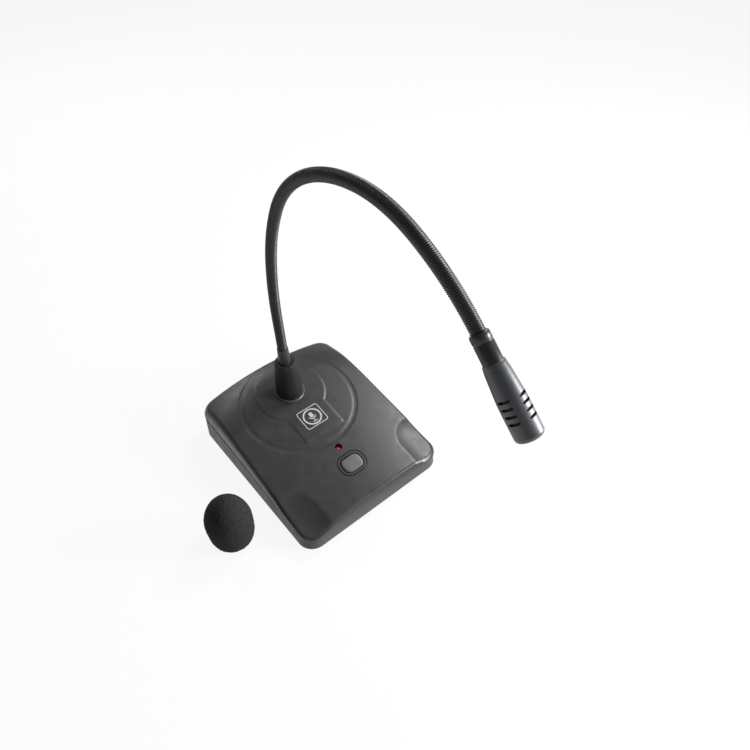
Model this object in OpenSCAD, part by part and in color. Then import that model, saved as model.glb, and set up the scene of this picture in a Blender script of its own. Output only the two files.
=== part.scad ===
// Paging microphone: a sloped desk base, a talk button, a flexible ribbed neck and a slotted head.
// Millimetres, +Z up, front towards -Y, origin on the desk under the middle of the base.

/* [Base] */
// Width of the base at its foot
base_w = 125; // [110:1:150]
// Depth of the base at its foot
base_d = 150; // [140:1:180]
// Plan radius of the base corners
corner_r = 12; // [8:1:20]
// Inward lean of the walls over the base height
wall_lean = 3; // [1:0.5:5]
// Thickness of the plastic shells
wall = 2.5; // [2:0.1:3]
// Height of the parting line at the front
seam_front = 11; // [9:0.5:13]
// Height of the parting line at the back
seam_back = 22; // [18:0.5:26]
// Rise of the parting line between front and back
seam_arch = 3; // [0:0.5:4]
// Height of the cover's ridge at the front edge
ridge_front = 19; // [18:0.5:22]
// Slope of the cover towards the front, in degrees
slope = 9.6; // [7:0.1:12]
// Crown radius of the cover across its width
crown_r = 600; // [450:10:900]
// Radius of the dome that rounds off the back of the cover
dome_r = 200; // [170:5:260]
// Height of the cover at the middle of the back edge
back_edge_z = 36.6; // [34:0.2:38]

/* [Corner scoops] */
// Radius of the scoop in each front corner
scoop_r = 60; // [50:1:70]
// Lowest point of the scoops, at the front
scoop_floor = 13.2; // [12.8:0.1:14.4]
// Distance of the scoops from the middle
scoop_x = 62; // [58:1:70]
// Depth of the scoops along the sides, from the front
scoop_len = 10; // [6:1:16]

/* [Neck pad] */
// Distance of the neck behind the middle of the base
neck_y = 33; // [25:1:36]
// Radius of the raised round pad under the boot
pad_r = 27.5; // [24:0.5:32]
// Width of the pad's tab towards the front
tab_w = 34; // [28:1:40]
// Front end of the tab, ahead of the middle of the base
tab_front = 13; // [8:1:18]
// Height of the pad over the ridge
pad_rise = 0.4; // [0.2:0.1:1]
// Radius of the round groove
groove_r = 44; // [40:0.5:46]
// Distance of the groove's centre behind the middle
groove_y = 21.5; // [18:0.5:25]
// Width of the groove
groove_w = 3.4; // [1:0.1:4]
// Depth of the groove
groove_depth = 0.3; // [0.2:0.1:1]

/* [Talk button] */
// Width of the button cap
button_w = 16; // [13:0.5:18]
// Depth of the button cap
button_d = 12; // [11:0.5:14]
// Corner radius of the button cap
button_r = 4.5; // [3:0.25:5]
// Distance of the button from the front edge
button_inset = 29.5; // [26:0.5:32]
// Height of the cap over the cover
button_rise = 0.6; // [0.4:0.1:2]
// Travel of the button
button_travel = 2; // [1:0.1:2.5]
// Distance of the lamp from the front edge
lamp_inset = 46; // [43:0.5:49]
// Radius of the lamp's dome
lamp_r = 2.5; // [2:0.1:3]

/* [Boot] */
// Radius of the boot at its foot
boot_r = 10.4; // [9:0.1:12]
// Radius of the boot at its top
boot_top_r = 8.2; // [7.5:0.1:9]
// Height of the boot's top over the desk
boot_top_z = 70; // [62:1:80]
// Radius of the ferrules at both ends of the neck
ferrule_r = 4.8; // [4.4:0.1:5.2]
// Length of the lower ferrule over the boot
ferrule_len = 14; // [10:1:22]

/* [Neck] */
// Outer radius of the neck's ribs
neck_r = 3.75; // [3.5:0.05:4.2]
// Depth of the neck's ribs
rib_depth = 0.35; // [0.2:0.05:0.5]
// Spacing of the ribs along the neck
rib_pitch = 2.3; // [2.2:0.1:4]
// Radius of the bore that carries the lead
neck_bore_r = 1.3; // [1:0.05:1.4]
// Radius of the ball at each bend of the neck
ball_r = 2.6; // [2.4:0.05:2.7]
// Straight part of the neck over the lower ferrule
neck_rise = 28; // [20:1:40]

/* [Head] */
// Radius of the microphone head
head_r = 7; // [6.5:0.1:8]
// Length of the microphone head
head_len = 37; // [34:1:48]
// Radius of the head where it leaves the ferrule
head_root_r = 5.4; // [5.3:0.1:6.2]
// Length of the smooth ferrule behind the head
head_ferrule_len = 16; // [12:1:20]
// Slots in each column of the head
slot_count = 4; // [2:1:4]
// Spacing of the slots
slot_pitch = 3.5; // [3:0.25:4.5]
// Turn of the slot columns about the head, in degrees
slot_turn = -19; // [-45:1:45]

/* [Windscreen] */
// Radius of the foam windscreen
foam_r = 16.5; // [15:0.5:21]
// Height of the foam windscreen
foam_h = 44; // [40:1:50]
// Depth of the windscreen's bore
foam_bore_len = 29; // [24:1:32]
// Distance of the windscreen to the left of the middle
foam_x = 94; // [88:1:110]
// Distance of the windscreen ahead of the middle
foam_y = 27; // [15:1:40]

/* [Hidden] */
// Round shapes are drawn with this many sides
$fn = 48;
// Gaps: between moving pieces, between fitted pieces and between pieces that only touch
clear = 0.3;
fit = 0.1;
skin = 0.05;
// Extra length of a shape that cuts through another
cut = 1;
tub_z = 1.5;
block_h = 46;
half_w = base_w / 2;
half_d = base_d / 2;
seam_gap = 0.1;
seam_steps = 14;
dome_y = 20;
button_y = half_d - button_inset;
lamp_y = half_d - lamp_inset;

// Places on the sloped cover, in its own tilted frame
function ridge_z(y) = ridge_front + tan(slope) * (y + half_d);
function seam_z(y) =
    let (s = (y + half_d) / base_d)
    seam_front + (seam_back - seam_front) * s + seam_arch * 4 * s * (1 - s);
function lean_at(z) = wall_lean * z / block_h;
module on_ridge(y) {
    translate([0, y, ridge_z(y)]) rotate([slope, 0, 0]) children();
}

// Neck pieces: length and bend of each stretch between two bends
neck_lens = [52, 48, 46, 48, 40, 50];
neck_bends = [12, 17, 29, 27, 29, 21];
neck_foot_z = boot_top_z + ferrule_len;
ferrule_grip = 6;
ferrule_lip = 0.4;
dome_steps = 5;
rib_sides = 8;
bore_step = 9;
ball_gap = 0.15;
cup_r = (ball_r + ball_gap) / cos(180 / rib_sides);
// Gaps of a cup's rim and a ball's shoulder from the middle of the ball
rim_gap = 0.7;
shoulder_gap = 1.1;
// Plain lengths at a stretch's ends, before its ribs and after them
rib_lead = 0.3;
rib_tail = 0.1;
bore_lip = 0.2;
straight = 0.01;

// Place along a bent stretch, as [y, z] with the stretch starting at the origin along +Z and leaning to -Y
function bent(s, len, bend) =
    s <= 0 ? [0, s]
    : let (a = bend * min(s, len) / len, r = len / (bend * PI / 180), over = max(0, s - len))
      [-r * (1 - cos(a)) - over * sin(a), r * sin(a) + over * cos(a)];
function turned(p, a) = [p[0] * cos(a) - p[1] * sin(a), p[0] * sin(a) + p[1] * cos(a)];
function sum_to(list, n) = n <= 0 ? 0 : list[n - 1] + sum_to(list, n - 1);
function start_angle(i) = sum_to(neck_bends, i);
neck_start = [neck_y, neck_foot_z + neck_rise];
function stretch_start(i) =
    i <= 0 ? neck_start
    : stretch_start(i - 1)
      + turned(bent(neck_lens[i - 1], neck_lens[i - 1], neck_bends[i - 1]), start_angle(i - 1));

// One closed ring list along a bent stretch: profile points are [distance along, radius]
module along_bend(profile, len, bend) {
    n = len(profile);
    points = [
        for (p = profile, k = [0 : rib_sides - 1])
            let (
                c = bent(p[0], len, bend),
                a = bend * min(max(p[0], 0), len) / len,
                t = 360 * (k + 0.5) / rib_sides,
                u = p[1] * sin(t)
            )
            [p[1] * cos(t), c[0] + u * cos(a), c[1] + u * sin(a)]
    ];
    faces = [
        for (i = [0 : n - 1], k = [0 : rib_sides - 1])
            let (
                i2 = (i + 1) % n,
                k2 = (k + 1) % rib_sides,
                a = i * rib_sides + k,
                b = i * rib_sides + k2,
                c = i2 * rib_sides + k2,
                d = i2 * rib_sides + k
            )
            each [[a, c, b], [a, d, c]]
    ];
    polyhedron(points, faces, convexity = 6);
}

function ribs(from, to) =
    let (n = floor((to - from) / rib_pitch), step = (to - from) / n)
    [
        for (i = [0 : n - 1])
            each [
                [from + step * (i + 0.1), neck_r],
                [from + step * (i + 0.6), neck_r - rib_depth]
            ]
    ];
// A ball at the far end, seen from its centre at the distance len
function ball_end(len) = [
    for (i = [0 : dome_steps])
        let (
            low = -shoulder_gap,
            high = sqrt(ball_r * ball_r - pow(neck_bore_r + bore_lip, 2)),
            s = low + (high - low) * i / dome_steps
        )
        [len + s, sqrt(ball_r * ball_r - s * s)]
];
// A cup at the near end, seen from the ball's centre at the distance zero
function cup_start() = [
    for (i = [0 : dome_steps])
        let (
            low = rim_gap,
            high = sqrt(cup_r * cup_r - pow(neck_bore_r + bore_lip, 2)),
            s = high + (low - high) * i / dome_steps
        )
        [s, sqrt(cup_r * cup_r - s * s)]
];
function bore_back(from, to) =
    let (n = ceil((from - to) / bore_step))
    [for (i = [0 : n]) [from + (to - from) * i / n, neck_bore_r]];
function lower_profile(len) = concat(
    [[-ferrule_grip, neck_r - rib_depth], [0, neck_r - rib_depth]],
    ribs(rib_lead, len - shoulder_gap - rib_lead),
    [[len - shoulder_gap - rib_tail, neck_r]],
    ball_end(len),
    bore_back(len + ball_r * 0.7, -ferrule_grip)
);
function mid_profile(len) = concat(
    cup_start(),
    [[rim_gap, neck_r]],
    ribs(rim_gap + rib_lead, len - shoulder_gap - rib_lead),
    [[len - shoulder_gap - rib_tail, neck_r]],
    ball_end(len),
    bore_back(len + ball_r * 0.7, cup_r)
);
function tip_profile(len) = concat(
    cup_start(),
    [[rim_gap, neck_r]],
    ribs(rim_gap + rib_lead, len - rib_lead),
    [[len, neck_r - rib_depth], [len + ferrule_grip, neck_r - rib_depth]],
    bore_back(len + ferrule_grip, cup_r)
);
module place_stretch(i) {
    p = stretch_start(i);
    translate([0, p[0], p[1]]) rotate([start_angle(i), 0, 0]) children();
}
stretches = len(neck_lens);
tip_start = stretch_start(stretches);
module place_head() {
    translate([0, tip_start[0], tip_start[1]]) rotate([start_angle(stretches), 0, 0]) children();
}

// Base shapes
module leaning_block(inset, bottom, top) {
    hull()
        for (sx = [-1, 1], sy = [-1, 1])
            translate([sx * (half_w - corner_r), sy * (half_d - corner_r), bottom])
                cylinder(
                    h = top - bottom,
                    r1 = corner_r - inset - lean_at(bottom),
                    r2 = corner_r - inset - lean_at(top),
                    $fn = 32
                );
}
// Everything above the parting line, raised by a gap
module over_seam(gap) {
    far = block_h * 2;
    points = concat(
        [for (i = [-1 : seam_steps + 1])
            let (y = -half_d + base_d * i / seam_steps) [y, seam_z(y) + gap]],
        [[half_d + base_d / seam_steps, far], [-half_d - base_d / seam_steps, far]]
    );
    translate([-base_w, 0, 0])
        rotate([90, 0, 90]) linear_extrude(base_w * 2) polygon(points);
}
// Everything under the crowned slope, with the dome that takes over at the back
module crown(inset) {
    reach = base_d * 2;
    dome_z = back_edge_z - sqrt(dome_r * dome_r - pow(half_d - dome_y, 2));
    intersection() {
        on_ridge(0)
            translate([0, 0, -crown_r])
                rotate([90, 0, 0]) cylinder(r = crown_r - inset, h = reach, center = true, $fn = 96);
        union() {
            translate([-base_w, -base_d, -block_h])
                cube([base_w * 2, base_d + dome_y, block_h * 3]);
            translate([0, dome_y, dome_z]) sphere(r = dome_r - inset, $fn = 200);
        }
    }
}
module scoops(grow) {
    centre_z = scoop_floor + tan(slope) * scoop_len + scoop_r / cos(slope);
    for (sx = [-1, 1]) {
        translate([sx * scoop_x, -half_d + scoop_len, centre_z]) {
            sphere(r = scoop_r + grow, $fn = 64);
            rotate([90 + slope, 0, 0]) cylinder(r = scoop_r + grow, h = base_d, $fn = 64);
        }
    }
}
module cover_body(inset) {
    difference() {
        intersection() {
            leaning_block(inset, 0, block_h);
            crown(inset);
        }
        scoops(inset);
    }
}

// Fastenings of the base
screw_r = 1.5;
screw_head_r = 3;
screw_head_h = 0.9;
screw_sink = 1;
screw_key_r = 1.2;
// Distance of the cover screws' tips under the parting line, and of their holes' ends
screw_short = 2.5;
screw_hole_short = 2;
boss_r = 4;
boss_side = 15;
boss_front = 30;
boss_back = 16;
boss_x = half_w - boss_side;
boss_ys = [-half_d + boss_front, half_d - boss_back];
screw_spots = [for (x = [-boss_x, boss_x], y = boss_ys) [x, y]];
foot_r = 7;
foot_edge = 1.2;
foot_side = 17;
foot_front = 16;
foot_back = 30;
foot_x = half_w - foot_side;
foot_ys = [-half_d + foot_front, half_d - foot_back];
foot_spots = [for (x = [-foot_x, foot_x], y = foot_ys) [x, y]];
foot_sink = 0.8;
tub_floor = tub_z + wall;

// Ballast plate and its screws
ballast_side = 26;
ballast_front_gap = 52;
ballast_back_gap = 30;
ballast_w = base_w - 2 * ballast_side;
ballast_front = -half_d + ballast_front_gap;
ballast_back = half_d - ballast_back_gap;
ballast_h = 5;
ballast_screw_r = 2.2;
ballast_screw_inset = 8;
ballast_head_r = 4;
ballast_head_h = 2.2;
ballast_spots = [for (sx = [-1, 1])
    [sx * (ballast_w / 2 - ballast_screw_inset), ballast_front + ballast_screw_inset]];

// Circuit board, hung under the cover on posts
board_t = 1.6;
board_drop = 11;
board_w = 40;
board_len = 38;
board_front_gap = 17;
board_front = -half_d + board_front_gap;
board_back = board_front + board_len;
post_r = 2.6;
post_inset = 4;
post_x = board_w / 2 - post_inset;
post_spots = [for (x = [-post_x, post_x], y = [board_front + post_inset, board_back - post_inset]) [x, y]];
board_screw_r = 1.1;
board_screw_head_r = 2;
board_screw_head_h = 1.5;
board_screw_grip = 4;
board_hole_len = 6;

// Button, switch and lamp
button_gap = 0.8;
ring_gap = 2.4;
ring_w = 0.6;
ring_depth = 0.4;
cap_under = 3.4;
cap_wall = 1.5;
cap_plate = 1.6;
stem_r = 2;
stem_end = 1.4;
stem_root = 0.9;
switch_w = 12;
switch_d = 12;
switch_play = 0.4;
switch_gap = button_travel + switch_play;
switch_h = board_drop - cap_under - switch_gap - stem_end;
spring_play = 0.4;
spring_t = 0.8;
spring_in_r = stem_r + spring_play;
spring_out_r = spring_in_r + spring_t;
lamp_play = 0.4;
lamp_lip = 0.3;
lamp_hole_r = lamp_r + lamp_play;
lamp_flange_r = lamp_r + lamp_lip;
lamp_flange_h = 1;
// Depth of the lamp dome's middle under the cover
lamp_sink = 4.8;

// Socket at the back
socket_z = 12;
socket_r = 5.5;
socket_shoulder = 2;
socket_body_r = socket_r + socket_shoulder;
socket_bore_r = 3.2;
socket_len = 20;
socket_end = 3;
socket_step = 0.6;
socket_nut_r = 8;
socket_nut_h = 2.4;

// Foot of the neck
stud_r = 6;
stud_end = 3;
nut_r = 10;
nut_h = 4;
boot_seat = 4;
boot_seat_z = ridge_z(neck_y) - boot_seat;
boot_h = boot_top_z - boot_seat_z;
boot_edge = 1;
boot_bulge = 0.6;
boss_under = 2.5;
nut_z = boot_seat_z - boss_under - nut_h;
collar_lip = 1.2;
collar_r = boot_r + collar_lip;
collar_h = 1.2;
collar_edge = 0.4;

module pad_shape() {
    translate([0, neck_y]) circle(r = pad_r, $fn = 96);
    translate([-tab_w / 2, -tab_front]) square([tab_w, tab_front + neck_y]);
}
module rounded_rect(w, d, r, h) {
    linear_extrude(h) {
        square([w - 2 * r, d], center = true);
        square([w, d - 2 * r], center = true);
        for (sx = [-1, 1], sy = [-1, 1])
            translate([sx * (w / 2 - r), sy * (d / 2 - r)]) circle(r = r);
    }
}
// The button's outline widened by a gap
module around_button(gap, h) {
    rounded_rect(button_w + 2 * gap, button_d + 2 * gap, button_r + gap, h);
}

module top_cover() {
    color([0.27, 0.27, 0.27])
    difference() {
        union() {
            difference() {
                cover_body(0);
                cover_body(wall);
                difference() {
                    translate([0, groove_y, 0])
                        rotate_extrude($fn = 96)
                            translate([groove_r - groove_w / 2, 0]) square([groove_w, block_h * 2]);
                    cover_body(groove_depth);
                }
            }
            // raised keyhole pad, a little proud of the cover
            difference() {
                intersection() {
                    linear_extrude(block_h * 2) pad_shape();
                    crown(-pad_rise);
                }
                crown(wall / 2);
            }
            // seat of the boot
            intersection() {
                translate([0, neck_y, boot_seat_z - boss_under])
                    cylinder(r = boot_r + wall, h = block_h);
                crown(skin);
            }
            // bosses of the cover screws
            intersection() {
                for (p = screw_spots)
                    translate([p[0], p[1], tub_floor + clear]) cylinder(r = boss_r, h = block_h);
                cover_body(skin);
            }
            // posts of the circuit board
            intersection() {
                on_ridge(0)
                    for (p = post_spots)
                        translate([p[0], p[1], -board_drop]) cylinder(r = post_r, h = board_drop);
                cover_body(skin);
            }
        }
        // room under the parting line, with the screw bosses left standing
        difference() {
            translate([-base_w, -base_d, -cut]) cube([base_w * 2, base_d * 2, block_h * 2]);
            over_seam(seam_gap);
            for (p = screw_spots)
                translate([p[0], p[1], 0]) cylinder(r = boss_r + skin, h = block_h);
            on_ridge(0)
                for (p = post_spots)
                    translate([p[0], p[1], -board_drop - cut])
                        cylinder(r = post_r + skin, h = board_drop + 2 * cut);
            translate([0, neck_y, boot_seat_z - boss_under])
                cylinder(r = boot_r + wall + skin, h = block_h);
        }
        // screw holes
        for (p = screw_spots)
            translate([p[0], p[1], 0]) cylinder(r = screw_r, h = seam_z(p[1]) - screw_hole_short);
        on_ridge(0)
            for (p = post_spots)
                translate([p[0], p[1], -board_drop - cut])
                    cylinder(r = board_screw_r, h = board_hole_len + cut);
        // seat and stud hole of the boot
        translate([0, neck_y, boot_seat_z]) cylinder(r = boot_r + fit, h = block_h);
        translate([0, neck_y, 0]) cylinder(r = stud_r + fit, h = block_h);
        // button opening with the ring around it, and lamp hole
        on_ridge(-button_y) {
            translate([0, 0, -wall * 2]) around_button(button_gap, wall * 4);
            translate([0, 0, -ring_depth])
                difference() {
                    around_button(ring_gap + ring_w, wall);
                    translate([0, 0, -cut]) around_button(ring_gap, wall + 2 * cut);
                }
        }
        on_ridge(-lamp_y)
            translate([0, 0, -wall * 2]) cylinder(r = lamp_hole_r, h = wall * 4);
    }
}

module bottom_tub() {
    color([0.24, 0.24, 0.25])
    difference() {
        leaning_block(0, tub_z, block_h);
        over_seam(0);
        leaning_block(wall, tub_floor, block_h + cut);
        for (p = screw_spots) {
            translate([p[0], p[1], -cut]) cylinder(r = screw_r + fit, h = block_h);
            translate([p[0], p[1], -cut]) cylinder(r = screw_head_r + clear, h = cut + tub_z + screw_sink);
        }
        for (p = foot_spots)
            translate([p[0], p[1], -cut]) cylinder(r = foot_r + fit, h = cut + tub_z + foot_sink);
        translate([0, half_d, socket_z])
            rotate([90, 0, 0]) cylinder(r = socket_r + fit, h = wall * 6, center = true);
    }
}

module cover_screws() {
    head_z = tub_z + screw_sink;
    color([0.55, 0.56, 0.58])
    for (p = screw_spots)
        translate([p[0], p[1], head_z])
            difference() {
                union() {
                    translate([0, 0, -screw_head_h]) cylinder(r = screw_head_r, h = screw_head_h);
                    translate([0, 0, -skin])
                        cylinder(r = screw_r - fit, h = seam_z(p[1]) - head_z - screw_short);
                }
                translate([0, 0, -screw_head_h * 1.5]) cylinder(r = screw_key_r, h = screw_head_h, $fn = 6);
            }
}

module rubber_feet() {
    foot_top = tub_z + foot_sink;
    color([0.08, 0.08, 0.08])
    for (p = foot_spots)
        translate([p[0], p[1], 0])
            rotate_extrude()
                polygon([[0, 0], [foot_r - foot_edge, 0], [foot_r, foot_edge],
                         [foot_r, foot_top], [0, foot_top]]);
}

module ballast_plate() {
    color([0.5, 0.5, 0.52])
    difference() {
        translate([-ballast_w / 2, ballast_front, tub_floor])
            cube([ballast_w, ballast_back - ballast_front, ballast_h]);
        for (p = ballast_spots)
            translate([p[0], p[1], 0]) cylinder(r = ballast_screw_r, h = block_h);
    }
}

module ballast_screws() {
    color([0.6, 0.6, 0.62])
    for (p = ballast_spots)
        translate([p[0], p[1], tub_floor]) {
            cylinder(r = ballast_screw_r - fit, h = ballast_h);
            translate([0, 0, ballast_h]) cylinder(r = ballast_head_r, h = ballast_head_h);
        }
}

module circuit_board() {
    color([0.1, 0.35, 0.2])
    on_ridge(0)
        difference() {
            translate([-board_w / 2, board_front, -board_drop - board_t])
                cube([board_w, board_back - board_front, board_t]);
            for (p = post_spots)
                translate([p[0], p[1], -board_drop - board_t - cut])
                    cylinder(r = board_screw_r + fit, h = board_t + 2 * cut);
        }
}

module board_screws() {
    color([0.6, 0.6, 0.62])
    on_ridge(0)
        for (p = post_spots)
            translate([p[0], p[1], -board_drop - board_t]) {
                translate([0, 0, -board_screw_head_h])
                    cylinder(r = board_screw_head_r, h = board_screw_head_h);
                cylinder(r = board_screw_r - fit, h = board_t + board_screw_grip);
            }
}

module talk_button() {
    color([0.45, 0.46, 0.46])
    on_ridge(-button_y) {
        difference() {
            translate([0, 0, -cap_under]) around_button(0, cap_under + button_rise);
            translate([0, 0, -cap_under - cut]) around_button(-cap_wall, cap_under - cap_plate + cut);
        }
        translate([0, 0, -cap_under - stem_end])
            cylinder(r = stem_r, h = cap_under + stem_end - stem_root);
    }
}

module return_spring() {
    color([0.75, 0.75, 0.76])
    on_ridge(-button_y)
        translate([0, 0, -board_drop + switch_h])
            difference() {
                cylinder(r = spring_out_r, h = board_drop - switch_h - cap_plate - fit);
                translate([0, 0, -cut]) cylinder(r = spring_in_r, h = board_drop);
            }
}

module switch_body() {
    color([0.12, 0.12, 0.13])
    on_ridge(-button_y)
        translate([-switch_w / 2, -switch_d / 2, -board_drop]) cube([switch_w, switch_d, switch_h]);
}

module status_lamp() {
    color([0.7, 0.12, 0.14])
    on_ridge(-lamp_y) {
        translate([0, 0, -board_drop]) cylinder(r = lamp_flange_r, h = lamp_flange_h);
        translate([0, 0, -board_drop]) cylinder(r = lamp_r, h = board_drop - lamp_sink);
        translate([0, 0, -lamp_sink - skin]) intersection() {
            sphere(r = lamp_r);
            cylinder(r = lamp_r, h = lamp_r);
        }
    }
}

module neck_boot() {
    color([0.09, 0.09, 0.1])
    translate([0, neck_y, 0])
        rotate_extrude()
            polygon([
                [ferrule_r + fit, boot_seat_z], [boot_r, boot_seat_z], [boot_r, boot_seat_z + boot_h * 0.25],
                [boot_r - boot_bulge, boot_seat_z + boot_h * 0.5],
                [boot_top_r + boot_bulge, boot_seat_z + boot_h * 0.78],
                [boot_top_r, boot_top_z - boot_edge], [boot_top_r - boot_edge, boot_top_z],
                [ferrule_r + fit, boot_top_z]
            ]);
}

module boot_collar() {
    color([0.32, 0.32, 0.33])
    difference() {
        on_ridge(neck_y)
            translate([0, 0, pad_rise])
                rotate_extrude()
                    polygon([[0, 0], [collar_r, 0], [collar_r, collar_h - collar_edge],
                             [collar_r - collar_edge, collar_h], [0, collar_h]]);
        translate([0, neck_y, 0]) cylinder(r = boot_r + fit, h = block_h * 2);
    }
}

module lower_ferrule() {
    stud_z = nut_z - stud_end;
    grip_z = neck_foot_z - ferrule_grip;
    color([0.12, 0.12, 0.13])
    translate([0, neck_y, 0])
        rotate_extrude()
            polygon([
                [neck_bore_r, stud_z], [stud_r, stud_z], [stud_r, boot_seat_z - skin],
                [ferrule_r, boot_seat_z - skin], [ferrule_r, boot_top_z], [neck_r + ferrule_lip, neck_foot_z],
                [neck_r, neck_foot_z], [neck_r, grip_z], [neck_bore_r, grip_z]
            ]);
}

module neck_nut() {
    color([0.7, 0.7, 0.72])
    translate([0, neck_y, nut_z])
        difference() {
            cylinder(r = nut_r, h = nut_h, $fn = 6);
            translate([0, 0, -cut]) cylinder(r = stud_r + fit, h = nut_h + 2 * cut);
        }
}

module neck_stretch_1() {
    color([0.1, 0.1, 0.1])
    translate([0, neck_y, neck_foot_z]) along_bend(lower_profile(neck_rise), neck_rise, straight);
}
module neck_stretch_2() {
    color([0.1, 0.1, 0.1])
    place_stretch(0) along_bend(mid_profile(neck_lens[0]), neck_lens[0], neck_bends[0]);
}
module neck_stretch_3() {
    color([0.1, 0.1, 0.1])
    place_stretch(1) along_bend(mid_profile(neck_lens[1]), neck_lens[1], neck_bends[1]);
}
module neck_stretch_4() {
    color([0.1, 0.1, 0.1])
    place_stretch(2) along_bend(mid_profile(neck_lens[2]), neck_lens[2], neck_bends[2]);
}
module neck_stretch_5() {
    color([0.1, 0.1, 0.1])
    place_stretch(3) along_bend(mid_profile(neck_lens[3]), neck_lens[3], neck_bends[3]);
}
module neck_stretch_6() {
    color([0.1, 0.1, 0.1])
    place_stretch(4) along_bend(mid_profile(neck_lens[4]), neck_lens[4], neck_bends[4]);
}
module neck_stretch_7() {
    color([0.1, 0.1, 0.1])
    place_stretch(5) along_bend(tip_profile(neck_lens[5]), neck_lens[5], neck_bends[5]);
}

// Parts of the head, along its own axis from the end of the neck
head_overlap = 2;
head_z = head_ferrule_len - head_overlap;
head_tip = head_z + head_len;
head_wall = 1.2;
head_taper = 18;
head_collar = 3;
head_collar_rise = 0.4;
head_edge = 1.2;
head_lip = 2;
ferrule_edge = 0.5;
slot_w = 6;
slot_h = 1.4;
slot_end = 10;
slot_columns = 4;
capsule_r = 4.9;
capsule_h = 6;
capsule_back_r = 3.5;
capsule_back_h = 1.2;
capsule_gap = 2;
seal_h = 4;
grille_t = 1.2;
grille_h = 1;
grille_hole_r = 0.8;
grille_ring_r = 2.6;
grille_holes = 6;
capsule_z = head_tip - grille_t - capsule_gap - capsule_h;
inner_r = head_r - head_wall;
module upper_ferrule() {
    color([0.12, 0.12, 0.13])
    place_head()
        rotate_extrude()
            polygon([
                [neck_r, 0], [ferrule_r - ferrule_edge, 0], [ferrule_r, head_overlap],
                [ferrule_r, head_ferrule_len], [neck_bore_r, head_ferrule_len],
                [neck_bore_r, ferrule_grip], [neck_r, ferrule_grip]
            ]);
}
module head_body() {
    slot_from = head_tip - slot_end - slot_pitch * (slot_count - 1);
    color([0.2, 0.2, 0.21])
    place_head()
        difference() {
            rotate_extrude()
                polygon([
                    [ferrule_r + skin, head_z], [head_root_r, head_z],
                    [head_root_r + head_collar_rise, head_z + head_collar],
                    [head_r, head_z + head_taper], [head_r, head_tip - head_edge * 2.5],
                    [head_r - head_edge / 3, head_tip - head_edge], [head_r - head_edge, head_tip],
                    [head_r - head_lip, head_tip], [head_r - head_lip, head_tip - grille_t],
                    [inner_r, head_tip - grille_t], [inner_r, head_z + head_taper],
                    [ferrule_r + skin, head_z + head_collar + cut]
                ]);
            for (i = [0 : slot_count - 1], side = [0 : slot_columns - 1])
                rotate(slot_turn + 360 * side / slot_columns)
                    translate([head_r, 0, slot_from + slot_pitch * i])
                        cube([head_wall * 4, slot_w, slot_h], center = true);
        }
}
module mic_capsule() {
    color([0.62, 0.62, 0.64])
    place_head()
        translate([0, 0, capsule_z]) {
            cylinder(r = capsule_r, h = capsule_h);
            translate([0, 0, -capsule_back_h]) cylinder(r = capsule_back_r, h = capsule_back_h + skin);
        }
}
module capsule_seal() {
    color([0.06, 0.06, 0.06])
    place_head()
        translate([0, 0, capsule_z])
            difference() {
                cylinder(r = inner_r - skin, h = seal_h);
                translate([0, 0, -cut]) cylinder(r = capsule_r + skin, h = seal_h + 2 * cut);
            }
}
module head_grille() {
    hole_len = grille_h + 2 * cut;
    color([0.16, 0.16, 0.17])
    place_head()
        translate([0, 0, head_tip - grille_t - grille_h])
            difference() {
                cylinder(r = inner_r - skin, h = grille_h);
                for (i = [1 : grille_holes])
                    rotate(360 * i / grille_holes)
                        translate([grille_ring_r, 0, -cut]) cylinder(r = grille_hole_r, h = hole_len);
                translate([0, 0, -cut]) cylinder(r = grille_hole_r, h = hole_len);
            }
}

module output_socket() {
    color([0.15, 0.15, 0.16])
    translate([0, half_d - lean_at(socket_z), socket_z])
        rotate([-90, 0, 0])
            difference() {
                union() {
                    translate([0, 0, -wall - socket_len])
                        cylinder(r = socket_body_r, h = socket_len - socket_step);
                    translate([0, 0, -wall - cut])
                        cylinder(r = socket_r, h = wall + cut + socket_nut_h + socket_step);
                }
                translate([0, 0, -wall - socket_len + socket_end])
                    cylinder(r = socket_bore_r, h = socket_len + wall + socket_nut_h);
            }
}
module socket_nut() {
    color([0.7, 0.7, 0.72])
    translate([0, half_d - lean_at(socket_z), socket_z])
        rotate([-90, 0, 0])
            translate([0, 0, socket_step])
                difference() {
                    cylinder(r = socket_nut_r, h = socket_nut_h, $fn = 6);
                    translate([0, 0, -cut]) cylinder(r = socket_r + skin, h = socket_nut_h + 2 * cut);
                }
}

module foam_windscreen() {
    bore_r = head_r - 0.4;
    bore_end = 3;
    dome_h = foam_h * 0.52;
    dome_arcs = 12;
    color([0.13, 0.13, 0.13])
    translate([-foam_x, -foam_y, 0])
        rotate_extrude($fn = 64)
            polygon(concat(
                [[bore_r, foam_bore_len], [bore_r, 0], [foam_r * 0.72, 0], [foam_r * 0.9, foam_h * 0.1],
                 [foam_r * 0.98, foam_h * 0.26]],
                [for (i = [0 : dome_arcs])
                    let (a = 90 * i / dome_arcs) [foam_r * cos(a), foam_h - dome_h + dome_h * sin(a)]],
                [[0, foam_bore_len + bore_end]]
            ));
}

top_cover();
bottom_tub();
cover_screws();
rubber_feet();
ballast_plate();
ballast_screws();
circuit_board();
board_screws();
talk_button();
return_spring();
switch_body();
status_lamp();
neck_boot();
boot_collar();
lower_ferrule();
neck_nut();
neck_stretch_1();
neck_stretch_2();
neck_stretch_3();
neck_stretch_4();
neck_stretch_5();
neck_stretch_6();
neck_stretch_7();
upper_ferrule();
head_body();
mic_capsule();
capsule_seal();
head_grille();
output_socket();
socket_nut();
foam_windscreen();
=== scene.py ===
import math

import bmesh
import bpy
import numpy as np
from mathutils import Matrix, Vector, noise


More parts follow.
